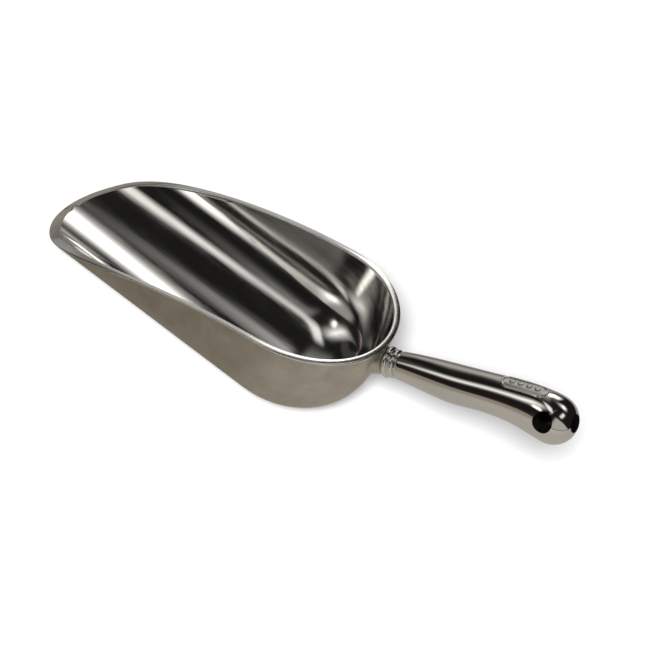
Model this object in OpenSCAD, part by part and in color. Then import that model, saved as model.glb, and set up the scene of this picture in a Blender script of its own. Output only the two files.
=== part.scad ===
// Bar ice scoop: a cast bowl, a beaded collar and a contoured handle held on by one long screw.
// Z is up. X runs along the scoop, with the pouring lip towards minus X and the handle towards plus X.
// The origin is halfway along the scoop, in its mirror plane, on the underside line of the bowl.

/* [Bowl] */
// Length of the bowl from the pouring lip to its back wall
bowl_l = 120.65; // [105:0.05:135]
// Outside width across the rim at the back
bowl_w = 59.8; // [54:0.2:66]
// Height of the rim at the back
bowl_h = 37.2; // [35:0.2:42]
// Thickness of the cast wall
wall = 2; // [1.6:0.1:2.6]
// Height of the blunt edge at the middle of the pouring lip
lip_t = 0.8; // [0.5:0.1:1.4]
// Outside radius of the bend between floor and sides
bend_r = 15.5; // [13:0.5:16]
// Height of the centre of that bend
bend_z = 18.6; // [17.6:0.2:20]
// Outward lean of the sides, in degrees
side_lean = 4.3; // [2:0.1:6]
// How far behind the back wall the curve of the rim is highest
rim_peak_x = 4.2; // [0:0.2:10]

/* [Neck] */
// Height at which the handle axis meets the back wall
neck_z = 31.2; // [29:0.1:32]
// Upward slope of the handle axis, in degrees
neck_tilt = 23.4; // [15:0.1:28]
// Distance along the handle axis from the back wall to the seat of the collar
boss_l = 2.3; // [2.3:0.1:3]
// Radius of the boss at that seat
boss_r = 4.4; // [4:0.1:4.6]
// Radius of the boss where it roots in the wall
boss_root_r = 5.6; // [4.8:0.1:6]
// Radius of the spigot that runs through the collar into the handle
spigot_r = 2.5; // [2.3:0.1:2.7]
// Length of the spigot beyond the collar
spigot_in = 5.5; // [4:0.5:7]

/* [Collar] */
// Length of the collar
collar_l = 5.1; // [5:0.1:6.5]
// Radius of the collar between its beads
collar_r = 3.7; // [3.4:0.1:4]
// Radius over the bead next to the bowl
bead_bowl_r = 5.1; // [4.6:0.1:5.4]
// Radius over the bead next to the handle
bead_grip_r = 4.7; // [4.4:0.1:5.1]
// Radius of the round section of each bead
bead_r = 0.9; // [0.8:0.05:1]

/* [Handle] */
// Length of the handle, from the crest of the bead beside it to its tip
handle_l = 63.5; // [60:0.5:70]
// Radius of the handle where it meets the collar
grip_neck_r = 4.5; // [4.4:0.1:5.2]
// Radius of the belly
belly_r = 6.4; // [6:0.1:7]
// Radius of the waist behind the belly
waist_r = 6; // [5.6:0.1:6.4]
// Rise of the waist above the axis, which keeps the top line straight
waist_up = 1.4; // [0.8:0.1:1.6]
// Radius of the swell before the knob
swell_r = 7.4; // [7:0.1:7.6]
// Rise of the swell above the axis
swell_up = 0.4; // [0:0.1:0.8]
// Radius of the round knob at the tip
knob_r = 7.8; // [7.6:0.1:8.4]
// Drop of the knob below the axis
knob_drop = 0.9; // [0.3:0.1:1.1]
// Radius of the hanging hole across the knob
hang_r = 3.2; // [2.5:0.1:3.3]
// Distance of the hanging hole from the tip
hang_from_tip = 8.2; // [8:0.1:9.5]
// Height of the hanging hole above the axis
hang_up = 1.9; // [1:0.1:2]
// Radius of the access bore in the tip
access_r = 2.9; // [2.85:0.05:3]

/* [Screw] */
// Nominal thread diameter
screw_d = 3; // [2.9:0.1:3]
// Length under the head
screw_l = 30; // [28:0.5:30]

/* [Hidden] */
// node to draw, or all of them

// smoothness of ordinary curves and of the long rim curve
$fn = 72;
rim_fn = 480;

// a little extra length for cuts that must pass right through
over = 1;
// round joining pieces stand this far proud of the surfaces they join, so the two cross cleanly
proud = 0.05;

// colours of satin outside, bright beads, polished handle and plain steel
CAST = [0.66, 0.64, 0.60];
BRIGHT = [0.78, 0.77, 0.74];
POLISHED = [0.72, 0.70, 0.66];
STEEL = [0.50, 0.50, 0.52];

// bowl cross-section: straight leaning sides, a tangent bend, and a floor arc tangent to both bends
side_foot_z = bend_z - bend_r * sin(side_lean);
bend_y = bowl_w / 2 - bend_r * cos(side_lean) - (bowl_h - side_foot_z) * tan(side_lean);
floor_r = (bend_y * bend_y + bend_z * bend_z - bend_r * bend_r) / (2 * (bend_z - bend_r));
section_top = bowl_h + 12;
turn_x = -bowl_w / 2;

// the rim is cut to one long arc that climbs from the lip and levels off towards the back
rim_rise = bowl_h - lip_t;
rim_r = (pow(bowl_l + rim_peak_x, 2) + pow(rim_rise, 2)) / (2 * rim_rise);

// stations along the handle axis, measured from the back wall
collar_end = boss_l + collar_l;
bead_bowl_s = boss_l + 1.5 * bead_r;
bead_grip_s = collar_end - 1.5;
spigot_end = collar_end + spigot_in;
tip = bead_grip_s + handle_l;
belly_s = bead_grip_s + 0.35 * handle_l;
waist_s = bead_grip_s + 0.54 * handle_l;
palm_s = bead_grip_s + 0.68 * handle_l;
swell_s = bead_grip_s + 0.8 * handle_l;
knob_s = tip - knob_r;
hang_s = tip - hang_from_tip;

// where the back wall stands, so that lip and knob are equally far from the origin
reach = knob_s * cos(neck_tilt) + knob_drop * sin(neck_tilt) + knob_r + proud;
back_x = (bowl_l - reach) / 2;

// the palm rest between waist and swell carries on the line of the waist
palm_r = waist_r + 0.4;
palm_up = waist_up + 0.1;

// handle outline as round stations: distance along the axis, height above it, radius
GRIP = [
    [collar_end, 0, grip_neck_r],
    [belly_s, 0, belly_r],
    [waist_s, waist_up, waist_r],
    [palm_s, palm_up, palm_r],
    [swell_s, swell_up, swell_r],
    [knob_s, -knob_drop, knob_r],
];

// screw, washer and the seat they share inside the handle
screw_r = screw_d / 2;
head_r = 2.75;
head_h = 3;
key_across = 2.5;
key_deep = 1.5;
washer_t = 0.8;
washer_r = 2.7;
washer_gap = 0.6;
screw_tip = 1;
head_s = screw_tip + screw_l;
seat_s = head_s - washer_t;
running_gap = 0.2;
thread_gap = 0.03;
slip_gap = 0.1;
tapped_floor = 0.4;

// the middle of the hanging hole is opened out where the access bore crosses it, so no thin edge is left
relief_r = hang_r + 0.3;
relief_l = 2 * access_r + 0.8;

// raised oval on top of the handle, with plain pips where a maker would put a mark
oval_s = tip - 17.9;
oval_l = 16;
oval_w = 5.6;
oval_line = 0.7;
oval_raise = 0.35;
oval_pips = 4;
pip_r = 0.95;
pip_pitch = 2.9;

// children drawn from the foot of the back wall, moved into the frame of the whole scoop
module in_frame() {
    translate([back_x, 0, 0])
        children();
}

// children drawn with Z along the handle axis and X pointing up from it
module on_neck() {
    translate([0, 0, neck_z])
        rotate([0, 90 - neck_tilt, 0])
            rotate([0, 0, 180])
                children();
}

// bowl cross-section, drawn inset from the outside surface
module bowl_section(inset) {
    bend = bend_r - inset;
    foot_y = bend_y + (bend - proud) * cos(side_lean);
    foot_z = bend_z - (bend - proud) * sin(side_lean);
    top_y = foot_y + (section_top - foot_z) * tan(side_lean);
    wedge = 3;
    wedge_y = wedge * bend_y;
    wedge_z = floor_r - wedge * (floor_r - bend_z);
    intersection() {
        translate([0, floor_r]) circle(r = floor_r - inset - proud, $fn = 180);
        polygon([[0, floor_r], [wedge_y, wedge_z], [-wedge_y, wedge_z]]);
    }
    for (side = [-1, 1])
        translate([side * bend_y, bend_z]) circle(r = bend);
    polygon([
        [bend_y, bend_z],
        [foot_y, foot_z],
        [top_y, section_top],
        [-top_y, section_top],
        [-foot_y, foot_z],
        [-bend_y, bend_z],
    ]);
}

// trough that ends in the same section turned about an upright axis
module basin(inset, reach) {
    translate([turn_x - reach, 0, 0])
        rotate([90, 0, 90])
            linear_extrude(reach)
                bowl_section(inset);
    translate([turn_x, 0, 0])
        rotate_extrude($fn = 96)
            intersection() {
                bowl_section(inset);
                square([bowl_w, 2 * section_top]);
            }
}

// everything below the long arc of the rim
module below_rim() {
    translate([rim_peak_x, 0, bowl_h - rim_r])
        rotate([90, 0, 0])
            cylinder(h = 2 * bowl_w, r = rim_r, center = true, $fn = rim_fn);
}

// tapered boss that grows out of the back wall
module boss() {
    deep = 1.5 * wall;
    on_neck()
        translate([0, 0, -deep])
            cylinder(h = boss_l + deep, r1 = boss_root_r, r2 = boss_r);
}

// round body through a row of stations, each pair joined by the cone tangent to both
module round_body(stations, grow) {
    for (st = stations)
        translate([st[1], 0, st[0]]) sphere(r = st[2] + grow + proud);
    for (i = [0 : len(stations) - 2]) {
        a = stations[i];
        b = stations[i + 1];
        run = norm([b[0] - a[0], b[1] - a[1]]);
        lean = (b[2] - a[2]) / run;
        band = sqrt(1 - lean * lean);
        translate([a[1], 0, a[0]])
            rotate([0, atan2(b[1] - a[1], b[0] - a[0]), 0])
                translate([0, 0, -(a[2] + grow) * lean])
                    cylinder(
                        h = run - (b[2] - a[2]) * lean,
                        r1 = (a[2] + grow) * band,
                        r2 = (b[2] + grow) * band
                    );
    }
}

// flat oval with round ends, long side along Y
module oval(length, width) {
    square([width, length - width], center = true);
    for (side = [-1, 1])
        translate([0, side * (length - width) / 2]) circle(d = width);
}

// stamp an outline into a column standing on top of the handle
module on_top(s) {
    translate([0, 0, s])
        rotate([0, 90, 0])
            rotate([0, 0, 90])
                linear_extrude(2 * knob_r)
                    children();
}

// outline of the raised oval: a thin ring with a row of pips inside
module oval_mark() {
    difference() {
        oval(oval_l, oval_w);
        oval(oval_l - 2 * oval_line, oval_w - 2 * oval_line);
    }
    for (i = [0 : oval_pips - 1])
        translate([0, (i - (oval_pips - 1) / 2) * pip_pitch]) circle(r = pip_r);
}

// cast bowl with the boss and the tapped spigot the handle pulls up against
module bowl() {
    color(CAST)
        in_frame()
            difference() {
                union() {
                    intersection() {
                        union() {
                            basin(0, bowl_l + turn_x);
                            boss();
                        }
                        below_rim();
                    }
                    on_neck() translate([0, 0, -wall]) cylinder(h = spigot_end + wall, r = spigot_r);
                }
                basin(wall, bowl_l + turn_x + over);
                on_neck()
                    translate([0, 0, tapped_floor])
                        cylinder(h = spigot_end - tapped_floor + over, r = screw_r + thread_gap);
            }
}

// round bead that runs once round the collar
module bead(over_r) {
    rotate_extrude()
        translate([over_r - bead_r, 0]) circle(r = bead_r, $fn = 24);
}

// collar with two round beads, clamped between the boss and the handle
module collar() {
    color(BRIGHT)
        in_frame() on_neck()
            difference() {
                union() {
                    translate([0, 0, boss_l]) cylinder(h = collar_l, r = collar_r);
                    translate([0, 0, bead_bowl_s]) bead(bead_bowl_r);
                    translate([0, 0, bead_grip_s]) bead(bead_grip_r);
                }
                translate([0, 0, boss_l - over]) cylinder(h = collar_l + 2 * over, r = spigot_r + slip_gap);
            }
}

// contoured handle: belly, waist and knob, a hanging hole across it and a stepped bore along it
module handle() {
    color(POLISHED)
        in_frame() on_neck()
            difference() {
                union() {
                    round_body(GRIP, 0);
                    intersection() {
                        round_body([for (i = [2 : 5]) GRIP[i]], oval_raise);
                        on_top(oval_s) oval_mark();
                    }
                }
                translate([0, 0, collar_end - 2 * knob_r]) cylinder(h = 2 * knob_r, r = 2 * knob_r);
                translate([0, 0, collar_end - over]) cylinder(h = spigot_in + 2 * over, r = spigot_r + slip_gap);
                translate([0, 0, collar_end]) cylinder(h = seat_s, r = screw_r + running_gap);
                translate([0, 0, seat_s]) cylinder(h = tip - seat_s + over, r = access_r);
                translate([hang_up, 0, hang_s])
                    rotate([90, 0, 0]) {
                        cylinder(h = 4 * knob_r, r = hang_r, center = true);
                        cylinder(h = relief_l, r = relief_r, center = true);
                    }
            }
}

// split spring washer under the screw head
module lock_washer() {
    color(STEEL)
        in_frame() on_neck()
            translate([0, 0, seat_s])
                difference() {
                    cylinder(h = washer_t, r = washer_r);
                    translate([0, 0, -over]) cylinder(h = washer_t + 2 * over, r = screw_r + running_gap / 2);
                    translate([washer_r, 0, washer_t / 2])
                        rotate([30, 0, 0])
                            cube([2 * washer_r, washer_gap, 4 * washer_t], center = true);
                }
}

// long socket-head screw that pulls handle, collar and bowl together
module tie_screw() {
    point = 0.4;
    color(STEEL)
        in_frame() on_neck()
            difference() {
                union() {
                    translate([0, 0, screw_tip]) cylinder(h = point, r1 = screw_r - point, r2 = screw_r);
                    translate([0, 0, screw_tip + point]) cylinder(h = screw_l - point + over / 2, r = screw_r);
                    translate([0, 0, head_s]) cylinder(h = head_h, r = head_r);
                }
                translate([0, 0, head_s + head_h - key_deep])
                    cylinder(h = key_deep + over, d = key_across / cos(30), $fn = 6);
            }
}

bowl();
collar();
handle();
lock_washer();
tie_screw();
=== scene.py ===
import math
from collections import namedtuple

import bmesh
import bpy
from mathutils import Matrix, Vector


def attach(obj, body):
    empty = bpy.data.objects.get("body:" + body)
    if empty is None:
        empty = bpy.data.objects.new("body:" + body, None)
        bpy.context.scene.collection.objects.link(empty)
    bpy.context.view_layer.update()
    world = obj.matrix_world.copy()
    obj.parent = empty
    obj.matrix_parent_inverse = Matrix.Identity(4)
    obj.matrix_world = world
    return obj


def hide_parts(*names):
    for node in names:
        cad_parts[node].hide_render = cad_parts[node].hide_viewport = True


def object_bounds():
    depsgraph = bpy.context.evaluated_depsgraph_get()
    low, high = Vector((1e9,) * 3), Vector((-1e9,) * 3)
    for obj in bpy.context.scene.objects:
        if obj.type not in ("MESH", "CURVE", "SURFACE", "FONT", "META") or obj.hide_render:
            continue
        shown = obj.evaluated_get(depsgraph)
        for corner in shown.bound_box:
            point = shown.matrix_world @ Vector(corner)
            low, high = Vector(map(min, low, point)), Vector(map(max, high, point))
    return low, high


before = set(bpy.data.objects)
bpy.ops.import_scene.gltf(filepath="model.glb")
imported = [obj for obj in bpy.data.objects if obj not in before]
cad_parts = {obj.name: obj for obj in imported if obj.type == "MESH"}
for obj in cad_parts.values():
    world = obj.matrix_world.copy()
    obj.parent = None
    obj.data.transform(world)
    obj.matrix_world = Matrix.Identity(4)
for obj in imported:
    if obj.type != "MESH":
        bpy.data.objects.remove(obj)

CAD_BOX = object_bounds()
MM = 0.001

# ---------------------------------------------------------------- sizes, in millimetres
# These are the same dimensions the CAD model uses.
BOWL_L = 120.65
BOWL_W = 59.8
BOWL_H = 37.2
WALL = 2.0
BEND_R = 15.5
BEND_Z = 18.6
SIDE_LEAN = math.radians(4.3)
RIM_PEAK_X = 4.2

# places along the bowl are measured from its back wall; the lip is at the low end of the CAD's box
BACK = Vector((CAD_BOX[0][0] / MM + BOWL_L, 0, 0))

# here the straight sides end and the rounded back starts
TURN_X = -BOWL_W / 2

# the handle axis: its height in the back wall and its rise
NECK_Z = 31.2
NECK_TILT = math.radians(23.4)

# radii round the axis
BOSS_R = 4.4
BOSS_ROOT_R = 5.6
SPIGOT_R = 2.5
COLLAR_R = 3.7
BEAD_R = 0.9
KNOB_R = 7.8
ACCESS_R = 2.9

# lengths along the axis; the handle's is measured from the crest of the bead beside it
BOSS_L = 2.3
COLLAR_L = 5.1
HANDLE_L = 63.5

# distances along the axis from the back wall; the beads have the radius of the crest as well
COLLAR_END = BOSS_L + COLLAR_L
BEADS = ((BOSS_L + 1.5 * BEAD_R, 5.1), (COLLAR_END - 1.5, 4.7))
SEAT_S = 30.2
TIP = BEADS[1][0] + HANDLE_L
KNOB_S = TIP - KNOB_R

# hanging hole: distance along the axis, height above it and radius; then the wider relief in its middle
HANG_S, HANG_UP, HANG_R = TIP - 8.2, 1.9, 3.2
RELIEF_R = HANG_R + 0.3
RELIEF_HALF = ACCESS_R + 0.4

# the side is almost straight outside and bowed a little inside, where the bend is also softer
BOW_OUTSIDE = 400.0
BOW_INSIDE = 80.0
SOFT_BEND_R = 15.0

# half the length over which a change of curvature is spread, and the samples on each side of it
OUTSIDE_EASE = 6.0
INSIDE_EASE = 10.0
EASE_STEPS = 4

# how far round the back its curvature takes to grow, as a share of half the width
OUTSIDE_RAMP = 0.3
INSIDE_RAMP = 0.9
OUTLINE_STEPS = 400

# rounds of a search by halves, and of a height that settles by itself
HALVINGS = 50
SETTLING = 12


# ---------------------------------------------------------------- bowl surfaces
Section = namedtuple("Section", "lean foot_y foot_z bend_y bend_z bend_r bow_r floor_r floor_angle")


def section_plan(inset, bend_r, bow_r):
    """Floor arc, bend and bowed side of one skin, each tangent to the next, from its floor line up."""
    high = BOWL_H - inset
    bend_z = bend_r + BEND_Z - BEND_R
    rim_y = BOWL_W / 2 - inset / math.cos(SIDE_LEAN)
    lean = SIDE_LEAN + math.asin((high - bend_z) / 2 / bow_r)
    foot_z = bend_z - bend_r * math.sin(lean)
    turn = lean - math.asin(math.sin(lean) - (high - foot_z) / bow_r)
    foot_y = rim_y - bow_r * (math.cos(lean - turn) - math.cos(lean))
    bend_y = foot_y - bend_r * math.cos(lean)
    floor_r = (bend_y ** 2 + bend_z ** 2 - bend_r ** 2) / (2 * (bend_z - bend_r))
    floor_angle = math.atan2(bend_y, floor_r - bend_z)
    return Section(lean, foot_y, foot_z, bend_y, bend_z, bend_r, bow_r, floor_r, floor_angle)


def section_arcs(plan, level, length):
    """(half width, height) on a skin, at a length from the middle of its floor."""
    if length <= plan.floor_r * plan.floor_angle:
        a = length / plan.floor_r
        return plan.floor_r * math.sin(a), level + plan.floor_r - plan.floor_r * math.cos(a)
    length -= plan.floor_r * plan.floor_angle
    bend_angle = math.pi / 2 - plan.lean - plan.floor_angle
    if length <= plan.bend_r * bend_angle:
        a = plan.floor_angle + length / plan.bend_r
        return plan.bend_y + plan.bend_r * math.sin(a), level + plan.bend_z - plan.bend_r * math.cos(a)
    a = plan.lean - (length - plan.bend_r * bend_angle) / plan.bow_r
    out = plan.foot_y + plan.bow_r * (math.cos(a) - math.cos(plan.lean))
    return out, level + plan.foot_z + plan.bow_r * (math.sin(plan.lean) - math.sin(a))


OUTSIDE = section_plan(0, BEND_R, BOW_OUTSIDE)
INSIDE = section_plan(WALL, SOFT_BEND_R, BOW_INSIDE)
RIM_R = ((BOWL_L + RIM_PEAK_X) ** 2 + BOWL_H ** 2) / (2 * BOWL_H)


def rim_height(x):
    """Height of the rim above the underside line, at a place x along the scoop."""
    return BOWL_H - RIM_R + math.sqrt(RIM_R ** 2 - (x - RIM_PEAK_X) ** 2)


def section_point(inset, length):
    """(half width, height) at a length from the middle of the floor, on a skin or between the two."""
    if inset == WALL:
        return section_arcs(INSIDE, WALL, length)
    if inset == 0:
        return section_arcs(OUTSIDE, 0, length)
    y0, z0 = section_arcs(OUTSIDE, 0, length)
    y1, z1 = section_arcs(INSIDE, WALL, length)
    t = inset / WALL
    return y0 + (y1 - y0) * t, z0 + (z1 - z0) * t


def section_length(inset, height):
    """Length from the middle of the floor up to a height."""
    low, high = 0.0, 2 * BOWL_W
    for _ in range(HALVINGS):
        middle = (low + high) / 2
        if section_point(inset, middle)[1] < height:
            low = middle
        else:
            high = middle
    return low


def eased_section(inset, length):
    """The section with its changes of curvature spread over a few millimetres."""
    ease = INSIDE_EASE if inset == WALL else OUTSIDE_EASE
    y = z = 0.0
    for k in range(-EASE_STEPS, EASE_STEPS + 1):
        at = length + ease * k / EASE_STEPS
        py, pz = section_point(inset, abs(at))
        y += math.copysign(py, at)
        z += pz
    count = 2 * EASE_STEPS + 1
    return y / count, z / count


def turning_path(ramp, most):
    """A path that sets off along X and turns by 90 degrees, its curvature growing over a ramp."""
    x = y = angle = length = 0.0
    step = (math.pi / 2 / most + ramp) / OUTLINE_STEPS
    points = [(0.0, 0.0)]
    while angle < math.pi / 2:
        t = min(length / ramp, 1)
        bend = most * t * t * (3 - 2 * t) * step
        x += math.cos(angle + bend / 2) * step
        y += math.sin(angle + bend / 2) * step
        angle += bend
        length += step
        points.append((x, y))
    return points


def end_outline(ramp):
    """Quarter outline of the rounded back, scaled to unit half width, from where it starts to turn.

    The ramp keeps the place where the straight sides end from showing.
    """
    low, high = 0.5, 3.0
    for _ in range(HALVINGS):
        most = (low + high) / 2
        if turning_path(ramp, most)[-1][1] > 1:
            low = most
        else:
            high = most
    points = turning_path(ramp, high)
    x_end, y_end = points[-1]
    return [(1 + x - x_end, 1 - y / y_end) for x, y in points]


def rib(inset, x_floor, x_unit, y_unit, shares):
    """Points from rim to floor line; those of half width w stand at (x_floor + w x_unit, w y_unit)."""
    height = BOWL_H
    for _ in range(SETTLING):
        reach = section_point(inset, section_length(inset, height))[0]
        height = max(rim_height(x_floor + reach * x_unit), inset)
    full = section_length(inset, height)
    levels = [eased_section(inset, full * share) for share in shares]
    return [Vector((x_floor + w * x_unit, -w * y_unit, z)) for w, z in levels]


def rounded_corner(start, corner, end):
    """Points between start and end on a curve that rounds off the corner."""
    out = []
    for i in range(1, CORNER_POINTS + 1):
        t = i / (CORNER_POINTS + 1)
        out.append(start * (1 - t) ** 2 + corner * 2 * t * (1 - t) + end * t * t)
    return out


def new_object(name, bm, materials):
    """A smooth shaded object from a mesh, its faces turned outwards."""
    mesh = bpy.data.meshes.new(name)
    bmesh.ops.recalc_face_normals(bm, faces=bm.faces)
    if bm.calc_volume(signed=True) < 0:
        bmesh.ops.reverse_faces(bm, faces=bm.faces)
    bm.to_mesh(mesh)
    bm.free()
    for m in materials:
        mesh.materials.append(m)
    obj = bpy.data.objects.new(name, mesh)
    bpy.context.scene.collection.objects.link(obj)
    for p in mesh.polygons:
        p.use_smooth = True
    return obj


# ---------------------------------------------------------------- bowl
TROUGH_RIBS = 60
TURN_RIBS = 60
RIB_POINTS = 40
CORNER_POINTS = 3

# powers that crowd the points towards the rim, and the ribs towards both ends of the trough
RIM_CROWDING = 1.15
BACK_CROWDING = 1.4
LIP_CROWDING = 1.8

# the rim's corners: rounding, most of it as a share of the edge, rib length from which it is full
EDGE_ROUND = 0.55
ROUND_SHARE = 0.28
FULL_ROUND_FROM = 18.0

# a rib shorter than this has no direction
NO_RIB = 0.01

# the inner lip is looked for in steps of this size
LIP_STEP = 0.01

# places of the materials in the bowl's list
OUTER_FACES, RIM_FACES, INNER_FACES = 0, 1, 2


def skin_ribs(inset, lip, outline):
    """Ribs of one skin on the near side, from the lip to the middle of the back."""
    shares = [1 - (j / RIB_POINTS) ** RIM_CROWDING for j in range(RIB_POINTS + 1)]
    ribs = []
    for i in range(TROUGH_RIBS):
        t = (1 - (1 - i / TROUGH_RIBS) ** BACK_CROWDING) ** LIP_CROWDING
        # at the lip the rib is a single point
        reached = shares if i else [0.0] * len(shares)
        ribs.append(rib(inset, lip + (TURN_X - lip) * t, outline[0][0] * t, 1, reached))
    for i in range(TURN_RIBS + 1):
        at = (len(outline) - 1) * i / TURN_RIBS
        k = min(int(at), len(outline) - 2)
        x, y = (outline[k][c] + (outline[k + 1][c] - outline[k][c]) * (at - k) for c in (0, 1))
        ribs.append(rib(inset, TURN_X, x, y, shares))
    return ribs


def bowl_ribs():
    """(outer rib, inner rib) pairs from the lip, round the back, to the lip again."""
    inner_lip = -BOWL_L
    while rim_height(inner_lip) < WALL:
        inner_lip += LIP_STEP
    outer = skin_ribs(0, -BOWL_L, end_outline(OUTSIDE_RAMP))
    inner = skin_ribs(WALL, inner_lip, end_outline(INSIDE_RAMP))
    near = list(zip(outer, inner))
    flip = Vector((1, -1, 1))
    far = [tuple([p * flip for p in one] for one in pair) for pair in near[-2::-1]]
    return near + far


def rim_band(out_rib, in_rib):
    """Points over the rim's edge, from one skin to the other, with both corners rounded."""
    across = in_rib[0] - out_rib[0]
    rib_length = (out_rib[-1] - out_rib[0]).length
    rounding = min(EDGE_ROUND, ROUND_SHARE * across.length) * min(1.0, rib_length / FULL_ROUND_FROM)
    side = across.normalized()
    down_out = (out_rib[1] - out_rib[0]).normalized() if rib_length > NO_RIB else side
    down_in = (in_rib[1] - in_rib[0]).normalized() if rib_length > NO_RIB else -side
    a0, a1 = out_rib[0] + down_out * rounding, out_rib[0] + side * rounding
    b0, b1 = in_rib[0] - side * rounding, in_rib[0] + down_in * rounding
    band = [a0] + rounded_corner(a0, out_rib[0], a1) + [a1, a1.lerp(b0, 0.5), b0]
    return band + rounded_corner(b0, in_rib[0], b1) + [b1]


def bowl_mesh(name, materials):
    """Closed shell of ribs that run from the floor line outside, over the rim, to the one inside."""
    bm = bmesh.new()
    cache = {}

    def vert(p):
        key = tuple(round(c, 3) for c in p)
        if key not in cache:
            cache[key] = bm.verts.new((p + BACK) * MM)
        return cache[key]

    chains = []
    for out_rib, in_rib in bowl_ribs():
        band = rim_band(out_rib, in_rib)
        chains.append([vert(p) for p in out_rib[:0:-1] + band + in_rib[1:]])
        band_from = len(out_rib) - 1
        band_to = band_from + len(band) - 1

    for left, right in zip(chains, chains[1:]):
        for j in range(len(left) - 1):
            corners = []
            for v in (left[j], left[j + 1], right[j + 1], right[j]):
                if v not in corners:
                    corners.append(v)
            if len(corners) < 3 or bm.faces.get(corners):
                continue
            face = bm.faces.new(corners)
            if j < band_from:
                face.material_index = OUTER_FACES
            elif j < band_to:
                face.material_index = RIM_FACES
            else:
                face.material_index = INNER_FACES
    return new_object(name, bm, materials)


# ---------------------------------------------------------------- pieces along the handle axis
AXIS = Vector((math.cos(NECK_TILT), 0, math.sin(NECK_TILT)))
UP = Vector((-math.sin(NECK_TILT), 0, math.cos(NECK_TILT)))
SIDE = Vector((0, -1, 0))
NECK = BACK + Vector((0, 0, NECK_Z))


def on_axis(s, up=0.0, side=0.0):
    """A point at a distance s along the handle axis, in millimetres."""
    return NECK + AXIS * s + UP * up + SIDE * side


# corners of the circles
LOFT_SIDES = 96
GRIP_SIDES = 128
HOLE_SIDES = 72
PIP_SIDES = 24


def turns(count):
    """Equal angles round a circle."""
    return [2 * math.pi * k / count for k in range(count)]


def skin(bm, loops, closed=False):
    """Faces between neighbouring loops; a loop of one vertex is a pole."""
    joined = list(zip(loops, loops[1:]))
    if closed:
        joined.append((loops[-1], loops[0]))
    for a, b in joined:
        count = max(len(a), len(b))
        for k in range(count):
            m = (k + 1) % count
            if len(a) == 1:
                bm.faces.new((a[0], b[k], b[m]))
            elif len(b) == 1:
                bm.faces.new((a[k], b[0], a[m]))
            else:
                bm.faces.new((a[k], b[k], b[m], a[m]))


def loft(name, rings, materials, closed=False):
    """Rings of (distance, radius) round the handle axis, joined into one skin; radius 0 is a pole."""
    bm = bmesh.new()
    loops = []
    for s, r in rings:
        if r == 0:
            loops.append([bm.verts.new(on_axis(s) * MM)])
        else:
            ring = [on_axis(s, r * math.cos(a), r * math.sin(a)) for a in turns(LOFT_SIDES)]
            loops.append([bm.verts.new(p * MM) for p in ring])
    skin(bm, loops, closed)
    return new_object(name, bm, materials)


def cross_bar(name, s, up, r, half, materials):
    """A plain round bar across the handle."""
    bm = bmesh.new()
    loops = []
    for side in (-half, half):
        loops.append([
            bm.verts.new(on_axis(s + r * math.cos(a), up + r * math.sin(a), side) * MM)
            for a in turns(HOLE_SIDES)
        ])
    skin(bm, loops)
    for loop in loops:
        bm.faces.new(loop)
    return new_object(name, bm, materials)


def smooth_curve(points, x, last_slope):
    """Value at x of a smooth curve through (x, value) points, sloped like the line past each one."""
    last = len(points) - 1
    slopes = []
    for i in range(last + 1):
        before, after = points[max(i - 1, 0)], points[min(i + 1, last)]
        slopes.append((after[1] - before[1]) / (after[0] - before[0]))
    slopes[-1] = last_slope
    if x < points[0][0]:
        return points[0][1] + (x - points[0][0]) * slopes[0]
    if x > points[-1][0]:
        return points[-1][1] + (x - points[-1][0]) * last_slope
    i = 0
    while i < last - 1 and x > points[i + 1][0]:
        i += 1
    x0, y0 = points[i]
    x1, y1 = points[i + 1]
    h = x1 - x0
    t = (x - x0) / h
    value = (2 * t ** 3 - 3 * t * t + 1) * y0 + (-2 * t ** 3 + 3 * t * t) * y1
    return value + (t ** 3 - 2 * t * t + t) * h * slopes[i] + (t ** 3 - t * t) * h * slopes[i + 1]


# handle outline: distance along the axis, height of the top, depth of the underside, half width
GRIP = (
    (COLLAR_END, 4.65, 4.35, 4.5),
    (12.0, 5.3, 4.7, 5.0),
    (20.0, 6.0, 5.65, 5.7),
    (28.0, 6.5, 6.25, 6.2),
    (34.0, 6.95, 5.45, 6.4),
    (40.0, 7.45, 4.7, 6.55),
    (46.0, 7.85, 4.75, 6.8),
    (51.0, 8.05, 5.5, 7.1),
    (56.5, 8.1, 7.3, 7.55),
    (KNOB_S, 7.15, 8.75, KNOB_R),
)
TOP = [(s, top) for s, top, under, half in GRIP]
UNDER = [(s, under) for s, top, under, half in GRIP]
HALF = [(s, half) for s, top, under, half in GRIP]

# the knob's middle lies this far below the axis, and the handle's sinks to it from here on
KNOB_DROP = 0.95
DROP_FROM = 46.0

# slope of the top line where the knob starts, and its height there above the knob's middle
TOP_SLOPE = -0.28
KNOB_OVER = GRIP[-1][1] + KNOB_DROP

# half the length over which the joins of the outline are spread, and the samples on each side
BLEND = 3.0
BLEND_STEPS = 3


def eased(points, s, last_slope=0.0):
    """The curve averaged over a few millimetres, which hides the joins between its pieces."""
    blend = min(BLEND, KNOB_S - s)
    steps = range(-BLEND_STEPS, BLEND_STEPS + 1)
    return sum(smooth_curve(points, s + blend * k / BLEND_STEPS, last_slope) for k in steps) / len(steps)


def grip_section(s):
    """(height of the widest line, height above it, depth below it, half width) at a distance s."""
    t = min(max((s - DROP_FROM) / (KNOB_S - DROP_FROM), 0), 1)
    middle = -KNOB_DROP * t * t * (3 - 2 * t)
    if s > KNOB_S:
        t = (s - KNOB_S) / (TIP - KNOB_S)
        r = KNOB_R * math.sqrt(max(0.0, 1 - t * t))
        return middle, r * KNOB_OVER / KNOB_R + TOP_SLOPE * (s - KNOB_S) * (1 - t) ** 2, r, r
    return middle, eased(TOP, s, TOP_SLOPE) - middle, eased(UNDER, s) + middle, eased(HALF, s)


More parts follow.
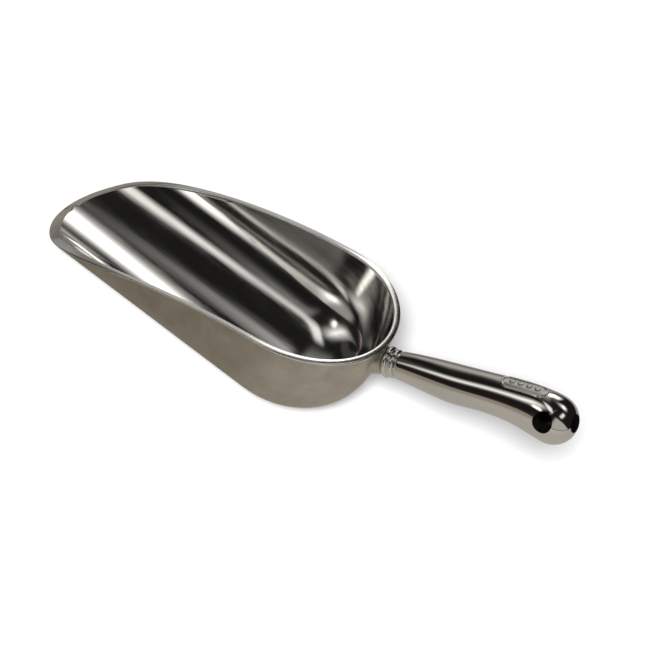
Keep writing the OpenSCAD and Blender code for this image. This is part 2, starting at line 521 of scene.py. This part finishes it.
def grip_point(s, angle, share=1.0):
    """A point at an angle from the top line towards the near side, at a share of the section's size."""
    middle, over, under, half = grip_section(s)
    rise = over if math.cos(angle) > 0 else under
    return on_axis(s, middle + share * rise * math.cos(angle), share * half * math.sin(angle))


def cut(obj, cutters):
    """Takes the cutters away from a piece; the cut faces keep the cutters' material."""
    for cutter in cutters:
        m = obj.modifiers.new("cut", "BOOLEAN")
        m.object = cutter
        m.operation = "DIFFERENCE"
        m.solver = "EXACT"
        m.material_mode = "TRANSFER"
    dg = bpy.context.evaluated_depsgraph_get()
    mesh = bpy.data.meshes.new_from_object(obj.evaluated_get(dg))
    obj.modifiers.clear()
    obj.data = mesh
    for cutter in cutters:
        bpy.data.objects.remove(cutter)


def sharpen(obj, degrees):
    """Shades smooth except across edges that turn by more than an angle."""
    bm = bmesh.new()
    bm.from_mesh(obj.data)
    bmesh.ops.dissolve_degenerate(bm, edges=bm.edges, dist=1e-7)
    for f in bm.faces:
        f.smooth = True
    for e in bm.edges:
        e.smooth = not (len(e.link_faces) == 2 and e.calc_face_angle(0) > math.radians(degrees))
    bm.to_mesh(obj.data)
    bm.free()


# the handle's end face beside the collar, and how far the rounding round it reaches
FACE_R = GRIP[0][3]
FACE_RINGS = (1.5, 3.0)
SHOULDER = 0.5
SHOULDER_RINGS = 6
GRIP_RINGS = 120
KNOB_RINGS = 36

# any distance past the tip, and past the handle's sides
BEYOND_TIP = 80.0
BEYOND_SIDES = 20.0


def handle_mesh(name, materials, bore_shade_material):
    """Closed skin through the outline, with the hanging hole and the access bore cut out of it; their
    walls take a near-black material, a painted shade inside the holes.
    """
    bm = bmesh.new()
    loops = [[bm.verts.new(on_axis(COLLAR_END) * MM)]]

    def ring(points):
        loops.append([bm.verts.new(p * MM) for p in points])

    angles = turns(GRIP_SIDES)
    for r in FACE_RINGS:
        ring(on_axis(COLLAR_END, r * math.cos(a), r * math.sin(a)) for a in angles)
    for i in range(SHOULDER_RINGS):
        b = math.pi / 2 * i / SHOULDER_RINGS
        share = (FACE_R - SHOULDER * (1 - math.sin(b))) / FACE_R
        s = COLLAR_END + SHOULDER * (1 - math.cos(b))
        ring(grip_point(s, a, share) for a in angles)
    start = COLLAR_END + SHOULDER
    for i in range(GRIP_RINGS + 1):
        s = start + (KNOB_S - start) * i / GRIP_RINGS
        ring(grip_point(s, a) for a in angles)
    for i in range(1, KNOB_RINGS):
        s = KNOB_S + (TIP - KNOB_S) * math.sin(math.pi / 2 * i / KNOB_RINGS)
        ring(grip_point(s, a) for a in angles)
    loops.append([bm.verts.new(grip_point(TIP, 0) * MM)])
    skin(bm, loops)
    obj = new_object(name, bm, materials)
    # the cut walls take the painted shade of the hole material
    inside = [bore_shade_material]
    bore = [(SEAT_S, 0), (SEAT_S, ACCESS_R), (BEYOND_TIP, ACCESS_R), (BEYOND_TIP, 0)]
    cut(obj, [
        loft("bore_cutter", bore, inside),
        cross_bar("hang_cutter", HANG_S, HANG_UP, HANG_R, BEYOND_SIDES, inside),
        cross_bar("relief_cutter", HANG_S, HANG_UP, RELIEF_R, RELIEF_HALF, inside),
    ])
    sharpen(obj, degrees=32)
    return obj


# raised mark on top of the handle: an oval line with round pips inside it, both sunk a little
MARK_S = TIP - 17.9
MARK_L = 16.0
MARK_W = 5.6
MARK_LINE = 0.7
MARK_RAISE = 0.35
MARK_SINK = 0.3
MARK_PIPS = 4
PIP_R = 0.95
PIP_PITCH = 2.9
MARK_END_STEPS = 24
MARK_SIDE_STEPS = 12

# sections of the line and of a pip, as shares of half the width and of the raise; -1 means the sink
LINE_SHAPE = ((-1, -1), (1, -1), (1, 0.45), (0.75, 0.85), (0, 1), (-0.75, 0.85), (-1, 0.45))
PIP_SHAPE = ((1, -1), (1, 0), (0.95, 0.55), (0.75, 0.88), (0.4, 0.98))


def top_point(s, side, lift):
    """A point above the top surface of the handle, by a share of the raise, or below it by the sink."""
    middle, over, under, half = grip_section(s)
    a = math.asin(side / half)
    out = (UP * (math.cos(a) / over) + SIDE * (math.sin(a) / half)).normalized()
    height = -MARK_SINK if lift < 0 else lift * MARK_RAISE
    return on_axis(s, middle + over * math.cos(a), side) + out * height


def mark_outline():
    """Points of the oval line: place along the handle, place across it, and the direction outwards."""
    half_straight = (MARK_L - MARK_W) / 2
    r = (MARK_W - MARK_LINE) / 2
    line = []
    for side in (1, -1):
        for k in range(MARK_END_STEPS + 1):
            a = math.pi * k / MARK_END_STEPS
            out_s, out_side = side * math.sin(a), side * math.cos(a)
            line.append((side * half_straight + r * out_s, r * out_side, out_s, out_side))
        for k in range(1, MARK_SIDE_STEPS):
            along = side * half_straight * (1 - 2 * k / MARK_SIDE_STEPS)
            line.append((along, -side * r, 0, -side))
    return line


def mark_mesh(name, materials):
    """The oval line and the row of pips."""
    bm = bmesh.new()
    loops = []
    for along, across, out_s, out_side in mark_outline():
        loop = []
        for width, lift in LINE_SHAPE:
            w = width * MARK_LINE / 2
            p = top_point(MARK_S + along + out_s * w, across + out_side * w, lift)
            loop.append(bm.verts.new(p * MM))
        loops.append(loop)
    skin(bm, loops, closed=True)
    for i in range(MARK_PIPS):
        middle = MARK_S + (i - (MARK_PIPS - 1) / 2) * PIP_PITCH
        loops = [[bm.verts.new(top_point(middle, 0, -1) * MM)]]
        for width, lift in PIP_SHAPE:
            r = PIP_R * width
            loops.append([
                bm.verts.new(top_point(middle + r * math.cos(a), r * math.sin(a), lift) * MM)
                for a in turns(PIP_SIDES)
            ])
        loops.append([bm.verts.new(top_point(middle, 0, 1) * MM)])
        skin(bm, loops)
    obj = new_object(name, bm, materials)
    sharpen(obj, degrees=50)
    return obj


# bevel of the collar's edges, and its play on the spigot
COLLAR_BEVEL = 0.15
COLLAR_PLAY = 0.1
BEAD_STEPS = 16


def collar_mesh(name, materials):
    """Plain tube with two round beads."""
    bore = SPIGOT_R + COLLAR_PLAY
    outline = [(BOSS_L, bore), (BOSS_L, COLLAR_R - COLLAR_BEVEL), (BOSS_L + COLLAR_BEVEL, COLLAR_R)]
    for s, crest in BEADS:
        centre_r = crest - BEAD_R
        low = math.asin((COLLAR_R - centre_r) / BEAD_R) if COLLAR_R > centre_r else 0.0
        for i in range(BEAD_STEPS + 1):
            a = low + (math.pi - 2 * low) * i / BEAD_STEPS
            outline.append((s - BEAD_R * math.cos(a), centre_r + BEAD_R * math.sin(a)))
    outline += [(COLLAR_END - COLLAR_BEVEL, COLLAR_R), (COLLAR_END, COLLAR_R - COLLAR_BEVEL)]
    outline.append((COLLAR_END, bore))
    obj = loft(name, outline, materials, closed=True)
    sharpen(obj, degrees=40)
    return obj


# where the boss starts inside the bowl, and the radius of its rounded edge
BOSS_ROOT_S = -3.0
BOSS_EDGE = 0.3
BOSS_RINGS = 12
BOSS_EDGE_RINGS = 4


def boss_mesh(name, materials):
    """Tapered boss with a rounded edge, its root sunk to the middle of the wall."""
    rings = []
    for i in range(BOSS_RINGS):
        t = i / BOSS_RINGS
        s = BOSS_ROOT_S + (BOSS_L - BOSS_EDGE - BOSS_ROOT_S) * t
        rings.append((s, BOSS_ROOT_R + (BOSS_R - BOSS_ROOT_R) * t))
    for i in range(BOSS_EDGE_RINGS + 1):
        a = math.pi / 2 * i / BOSS_EDGE_RINGS
        rings.append((BOSS_L - BOSS_EDGE * (1 - math.sin(a)), BOSS_R - BOSS_EDGE * (1 - math.cos(a))))
    bm = bmesh.new()
    loops = [[bm.verts.new(on_axis(wall_distance(0, 0)) * MM)]]
    for s, r in rings:
        loop = []
        for a in turns(LOFT_SIDES):
            up, side = r * math.cos(a), r * math.sin(a)
            loop.append(bm.verts.new(on_axis(max(s, wall_distance(up, side)), up, side) * MM))
        loops.append(loop)
    loops.append([bm.verts.new(on_axis(BOSS_L) * MM)])
    skin(bm, loops)
    bmesh.ops.remove_doubles(bm, verts=bm.verts, dist=1e-6)
    bmesh.ops.dissolve_degenerate(bm, edges=bm.edges, dist=1e-6)
    obj = new_object(name, bm, materials)
    sharpen(obj, degrees=40)
    return obj


def wall_distance(up, side):
    """Where a line along the handle axis meets the middle of the back wall."""
    s = 0.0
    for _ in range(SETTLING):
        z = on_axis(s, up, side).z
        reach = section_point(WALL / 2, section_length(WALL / 2, z))[0]
        x = TURN_X + math.sqrt(max(reach ** 2 - side ** 2, 0))
        s = (x + up * math.sin(NECK_TILT)) / math.cos(NECK_TILT)
    return s


# ---------------------------------------------------------------- materials
def node(tree, kind, **settings):
    """A shader node, with settings given by property name or by input name."""
    n = tree.nodes.new(kind)
    for key, value in settings.items():
        if key in n.inputs:
            n.inputs[key].default_value = value
        else:
            setattr(n, key, value)
    return n


def noise(tree, vector, scale, detail, roughness):
    n = node(tree, "ShaderNodeTexNoise", Scale=scale, Detail=detail, Roughness=roughness)
    tree.links.new(vector, n.inputs["Vector"])
    return n.outputs["Fac"]


def remap(tree, value, source, target, smooth=False):
    """A value carried over from the source range to the target range."""
    n = node(tree, "ShaderNodeMapRange", interpolation_type="SMOOTHSTEP" if smooth else "LINEAR")
    for slot, limit in zip(("From Min", "From Max", "To Min", "To Max"), (*source, *target)):
        n.inputs[slot].default_value = limit
    tree.links.new(value, n.inputs["Value"])
    return n.outputs["Result"]


def maths(tree, operation, *values):
    n = node(tree, "ShaderNodeMath", operation=operation)
    for slot, value in enumerate(values):
        if isinstance(value, (int, float)):
            n.inputs[slot].default_value = value
        else:
            tree.links.new(value, n.inputs[slot])
    return n.outputs["Value"]


def mixed(tree, share, first, second):
    """A colour between two; each is four numbers or the output of a node."""
    n = node(tree, "ShaderNodeMix", data_type="RGBA")
    tree.links.new(share, n.inputs["Factor"])
    for slot, colour in (("A", first), ("B", second)):
        if isinstance(colour, tuple):
            n.inputs[slot].default_value = colour
        else:
            tree.links.new(colour, n.inputs[slot])
    return n.outputs["Result"]


def stretched(tree, scale, turn):
    """Object coordinates squeezed along some axes, for grain that runs along the others."""
    coord = node(tree, "ShaderNodeTexCoord")
    mapping = node(tree, "ShaderNodeMapping", Scale=scale, Rotation=turn)
    tree.links.new(coord.outputs["Object"], mapping.inputs["Vector"])
    return mapping.outputs["Vector"]


EVEN = (1, 1, 1)
ALONG_X = (0.12, 1, 1)
LEVEL = (0, 0, 0)
TILTED = (0, -NECK_TILT, 0)

# scales of the noise, in waves per metre or so, and the band of its values that is used
CLOUD_SCALE = 120
WEAR_SCALE = 420
NOISE_BAND = (0.3, 0.7)


def metal(name, dark, light, rough, bumps, grain=EVEN, turn=LEVEL):
    """Metal whose colour, roughness and relief vary.

    rough is (smoothest, roughest); bumps lists (noise scale, depth in mm); grain stretches the noise.
    """
    m = bpy.data.materials.new(name)
    m.use_nodes = True
    tree = m.node_tree
    shader = tree.nodes["Principled BSDF"]
    shader.inputs["Metallic"].default_value = 1
    vector = stretched(tree, grain, turn)
    cloud = remap(tree, noise(tree, vector, CLOUD_SCALE, detail=4, roughness=0.6), NOISE_BAND, (0, 1))
    tree.links.new(mixed(tree, cloud, (*dark, 1), (*light, 1)), shader.inputs["Base Color"])
    wear = remap(tree, noise(tree, vector, WEAR_SCALE, detail=3, roughness=0.7), NOISE_BAND, rough)
    tree.links.new(wear, shader.inputs["Roughness"])
    normal = None
    for scale, depth in bumps:
        bump = node(tree, "ShaderNodeBump", Strength=1.0, Distance=depth * MM)
        tree.links.new(noise(tree, vector, scale, detail=2, roughness=0.5), bump.inputs["Height"])
        if normal:
            tree.links.new(normal, bump.inputs["Normal"])
        normal = bump.outputs["Normal"]
    tree.links.new(normal, shader.inputs["Normal"])
    return m


SATIN = metal(
    "satin_casting",
    dark=(0.50, 0.46, 0.39),
    light=(0.64, 0.60, 0.53),
    rough=(0.30, 0.44),
    bumps=[(260, 0.10), (900, 0.02)],
)
RIM = metal(
    "rim_edge",
    dark=(0.78, 0.77, 0.74),
    light=(0.88, 0.87, 0.85),
    rough=(0.10, 0.2),
    bumps=[(500, 0.01)],
)
MIRROR = metal(
    "mirror_inside",
    dark=(0.70, 0.69, 0.66),
    light=(0.80, 0.79, 0.77),
    rough=(0.05, 0.14),
    bumps=[(160, 0.05), (900, 0.004)],
    grain=ALONG_X,
)
POLISH = metal(
    "polished_handle",
    dark=(0.72, 0.70, 0.66),
    light=(0.80, 0.78, 0.74),
    rough=(0.04, 0.10),
    bumps=[(700, 0.003)],
    grain=ALONG_X,
    turn=TILTED,
)
BRIGHT_BEADS = metal(
    "bright_beads",
    dark=(0.74, 0.73, 0.70),
    light=(0.84, 0.83, 0.80),
    rough=(0.06, 0.14),
    bumps=[(700, 0.003)],
)
# painted shade: near-black metal for the walls of the access bore and the hanging hole, standing for the
# shade inside them
BORE_PAINTED_SHADE = metal(
    "bore_painted_shade",
    dark=(0.10, 0.09, 0.08),
    light=(0.20, 0.19, 0.17),
    rough=(0.35, 0.55),
    bumps=[(900, 0.02)],
)
STEEL = metal(
    "plain_steel",
    dark=(0.40, 0.40, 0.42),
    light=(0.55, 0.55, 0.57),
    rough=(0.22, 0.38),
    bumps=[(900, 0.01)],
)


# ---------------------------------------------------------------- the pieces
def place(piece, instead_of=None):
    """Hands a piece to the frame, where it may stand in for a CAD node."""
    if instead_of:
        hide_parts(instead_of)
    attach(piece, "root")


place(bowl_mesh("bowl_shell", [SATIN, RIM, MIRROR]), instead_of="bowl")
place(boss_mesh("bowl_boss", [SATIN]))
place(collar_mesh("bead_collar", [BRIGHT_BEADS]), instead_of="collar")
place(handle_mesh("grip_handle", [POLISH], BORE_PAINTED_SHADE), instead_of="handle")
place(mark_mesh("grip_mark", [POLISH]))
for name in ("lock_washer", "tie_screw"):
    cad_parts[name].data.materials.clear()
    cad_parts[name].data.materials.append(STEEL)

# ---------------------------------------------------------------- camera
CAM_AT = Vector((156.51, -504.3, 539.2)) * MM
CAM_AIM = Vector((2.87, 9.44, 19.31)) * MM
CAM_ROLL = math.radians(24.8)
CAM_LENS = 128.82
CAM_SENSOR = 36


def photo_camera():
    data = bpy.data.cameras.new("camera")
    data.lens = CAM_LENS
    data.sensor_width = CAM_SENSOR
    cam = bpy.data.objects.new("camera", data)
    bpy.context.scene.collection.objects.link(cam)
    look = (CAM_AIM - CAM_AT).normalized().to_track_quat("-Z", "Y").to_matrix().to_4x4()
    cam.matrix_world = Matrix.Translation(CAM_AT) @ look @ Matrix.Rotation(CAM_ROLL, 4, "Z")
    bpy.context.scene.camera = cam


photo_camera()

# ---------------------------------------------------------------- floor
FLOOR_HALF = 3.0
FLOOR_SEEN = (0.62, 0.62, 0.62, 1)
FLOOR_GLOW = (0.17, 0.17, 0.175, 1)

# what the metal mirrors: the table's warm grey, with painted light by the handle and a painted dark
# reflection past the lip; and the places along X between which it changes, in metres
FLOOR_PAINTED_DARK_REFLECTION = (0.044, 0.016, 0.016, 1)
FLOOR_MIRRORED = (0.186, 0.173, 0.148, 1)
FLOOR_PAINTED_LIGHT_BY_HANDLE = (0.30, 0.285, 0.26, 1)
LIP_CHANGE = (-0.30, -0.16)
HANDLE_CHANGE = (-0.03, 0.03)


def mixed_shader(tree, share, first, second):
    n = node(tree, "ShaderNodeMixShader")
    for slot, link in enumerate((share, first, second)):
        tree.links.new(link, n.inputs[slot])
    return n.outputs["Shader"]


def pale_floor():
    """Pale to the camera and clear from below.

    What the metal mirrors is a warm grey table, made lighter by the handle with painted light and dark
    past the lip with a painted dark reflection.
    """
    bm = bmesh.new()
    bmesh.ops.create_grid(bm, x_segments=1, y_segments=1, size=FLOOR_HALF)
    m = bpy.data.materials.new("pale_floor")
    m.use_nodes = True
    tree = m.node_tree
    tree.nodes.remove(tree.nodes["Principled BSDF"])

    lit = node(tree, "ShaderNodeBsdfDiffuse", Color=FLOOR_SEEN)
    glow = node(tree, "ShaderNodeEmission", Color=FLOOR_GLOW, Strength=1.0)
    seen = node(tree, "ShaderNodeAddShader")
    tree.links.new(lit.outputs["BSDF"], seen.inputs[0])
    tree.links.new(glow.outputs["Emission"], seen.inputs[1])

    spot = node(tree, "ShaderNodeTexCoord")
    split = node(tree, "ShaderNodeSeparateXYZ")
    tree.links.new(spot.outputs["Object"], split.inputs["Vector"])
    # painted light by the handle and a painted dark reflection past the lip, blended in along X
    painted_light_by_handle = remap(tree, split.outputs["X"], HANDLE_CHANGE, (0, 1), smooth=True)
    clear_of_dark_reflection = remap(tree, split.outputs["X"], LIP_CHANGE, (0, 1), smooth=True)
    table = mixed(tree, painted_light_by_handle, FLOOR_MIRRORED, FLOOR_PAINTED_LIGHT_BY_HANDLE)
    mirrored = node(tree, "ShaderNodeBsdfDiffuse")
    tree.links.new(mixed(tree, clear_of_dark_reflection, FLOOR_PAINTED_DARK_REFLECTION, table), mirrored.inputs["Color"])

    to_camera = node(tree, "ShaderNodeLightPath").outputs["Is Camera Ray"]
    from_below = node(tree, "ShaderNodeNewGeometry").outputs["Backfacing"]
    clear = node(tree, "ShaderNodeBsdfTransparent").outputs["BSDF"]
    above = mixed_shader(tree, to_camera, mirrored.outputs["BSDF"], seen.outputs["Shader"])
    both = mixed_shader(tree, from_below, above, clear)
    tree.links.new(both, tree.nodes["Material Output"].inputs["Surface"])
    return new_object("floor", bm, [m])


pale_floor()

# ---------------------------------------------------------------- studio round the scoop
# Soft boxes are given by direction: an angle round the X axis, in degrees (0 = +Y horizon,
# 90 = overhead, 180 = -Y horizon), and the share of the direction that lies along X. Each has half
# sizes and soft edges of both, a slant (share along X for every 100 degrees) and a brightness.
SoftBox = namedtuple("SoftBox", "angle along half_angle half_along edge_angle edge_along slant bright")
SOFT_BOXES = {
    "left_front": SoftBox(131, -0.66, 16.5, 0.02, 12.5, 0.24, -0.7, 2.3),
    "overhead_back": SoftBox(106, -0.35, 10.5, 0.085, 7, 0.04, 0.83, 1.1),
    "behind": SoftBox(34.5, -0.32, 8, 0.03, 15, 0.10, -0.4, 6.0),
    "over_near_tip": SoftBox(64, 0.05, 1.5, 0.08, 13, 0.32, 0.76, 6.0),
    "over_right": SoftBox(100, 0.40, 12, 0.10, 6, 0.12, 0.0, 1.25),
    "far_wall": SoftBox(0, -0.34, 9, 0.075, 4.5, 0.17, -0.3, 0.61),
    "grey_strip": SoftBox(117, -0.20, 7.5, 0.02, 25, 0.016, -0.27, 0.55),
    "near_wall": SoftBox(177, -0.31, 10, 0.06, 7, 0.04, 0.0, 1.8),
    "back_spot": SoftBox(140, -0.53, 5, 0.04, 5, 0.03, 0.0, 2.2),
    "camera_side": SoftBox(152, 0.71, 26, 0.54, 5, 0.13, 0.16, 0.45),
    "lip_side": SoftBox(10, -0.90, 30, 0.12, 10, 0.06, 0.0, 0.3),
    "far_haze": SoftBox(34, -0.55, 34, 0.19, 25, 0.06, -0.04, 0.46),
    "low_left": SoftBox(93, -0.94, 59, 0.065, 20, 0.025, 0.3, 0.04),
}
OVERHEAD = 0.012
WARM_WHITE = (1.0, 0.985, 0.95, 1)


def window(tree, value, middle, half, edge):
    """1 inside a band of values, 0 outside it, with soft edges."""
    off = maths(tree, "ABSOLUTE", maths(tree, "SUBTRACT", value, middle))
    return remap(tree, off, (half + edge, half - edge), (0, 1), smooth=True)


def studio():
    """A dark room with the soft boxes, which only the metal shows."""
    world = bpy.data.worlds.new("studio")
    bpy.context.scene.world = world
    world.use_nodes = True
    tree = world.node_tree
    coord = node(tree, "ShaderNodeTexCoord")
    split = node(tree, "ShaderNodeSeparateXYZ")
    tree.links.new(coord.outputs["Generated"], split.inputs["Vector"])
    x, y, z = (split.outputs[c] for c in "XYZ")
    around = maths(tree, "DEGREES", maths(tree, "ARCTAN2", z, y))
    total = OVERHEAD
    for box in SOFT_BOXES.values():
        lean = maths(tree, "MULTIPLY", maths(tree, "SUBTRACT", around, box.angle), box.slant / 100)
        across = window(tree, around, box.angle, box.half_angle, box.edge_angle)
        upright = maths(tree, "SUBTRACT", x, lean)
        along = window(tree, upright, box.along, box.half_along, box.edge_along)
        glow = maths(tree, "MULTIPLY", maths(tree, "MULTIPLY", across, along), box.bright)
        total = maths(tree, "ADD", glow, total)
    background = tree.nodes["Background"]
    background.inputs["Color"].default_value = WARM_WHITE
    tree.links.new(total, background.inputs["Strength"])


KEY_AT = Vector((0.54, -3.12, 3.30))
KEY_AIM = Vector((0.0, 0.10, 0.0))
KEY_SIZE = 0.9
KEY_POWER = 370


def key_light():
    """The soft light that casts the shadow, kept out of the reflections."""
    data = bpy.data.lights.new("key", "AREA")
    data.shape = "SQUARE"
    data.size = KEY_SIZE
    data.energy = KEY_POWER
    key = bpy.data.objects.new("key", data)
    bpy.context.scene.collection.objects.link(key)
    key.location = KEY_AT
    key.rotation_mode = "QUATERNION"
    key.rotation_quaternion = (KEY_AIM - KEY_AT).to_track_quat("-Z", "Y")
    key.visible_glossy = False


studio()
key_light()
bpy.context.scene.view_settings.view_transform = "Standard"
